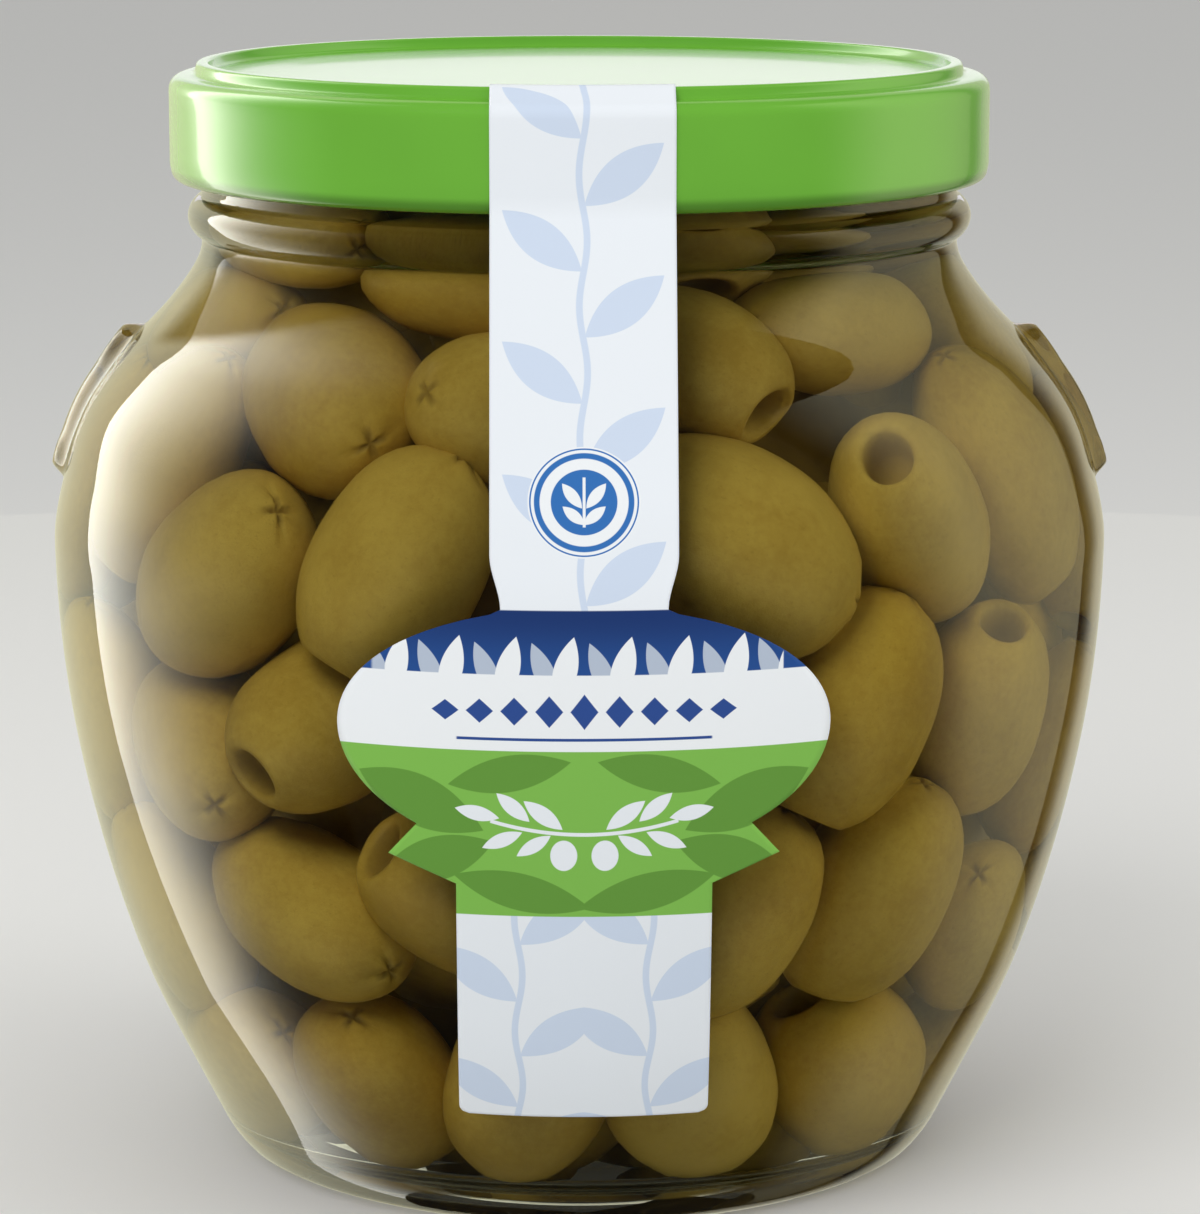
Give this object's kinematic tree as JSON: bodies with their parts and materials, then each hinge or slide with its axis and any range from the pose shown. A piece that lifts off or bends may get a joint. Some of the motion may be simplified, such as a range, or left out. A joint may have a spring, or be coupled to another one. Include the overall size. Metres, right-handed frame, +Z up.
{
  "type": "jar of olives",
  "caption": "Pot-bellied glass jar with moulded ears and a twist-off metal lid, full of pitted green olives in brine, with a die-cut paper label that seals the lid.",
  "frame": {"origin": "middle of the jar's base, on the plane it stands on", "axes": "+Z up along the jar's axis, -Y towards the label, +X to the label reader's right, through the ears"},
  "size_m": [0.147, 0.1461, 0.1524],
  "materials": {
    "clear_glass": "clear, glossy",
    "green_enamel": "glossy enamel",
    "label_paper": "coated, semi-gloss, printed",
    "olive_skin": "moist fruit skin, satin",
    "brine": "clear, faintly yellow liquid"
  },
  "bodies": {
    "root": {"jar_glass": "clear_glass", "lid": "green_enamel", "label": "label_paper", "olives": "olive_skin"}
  },
  "joints": []
}
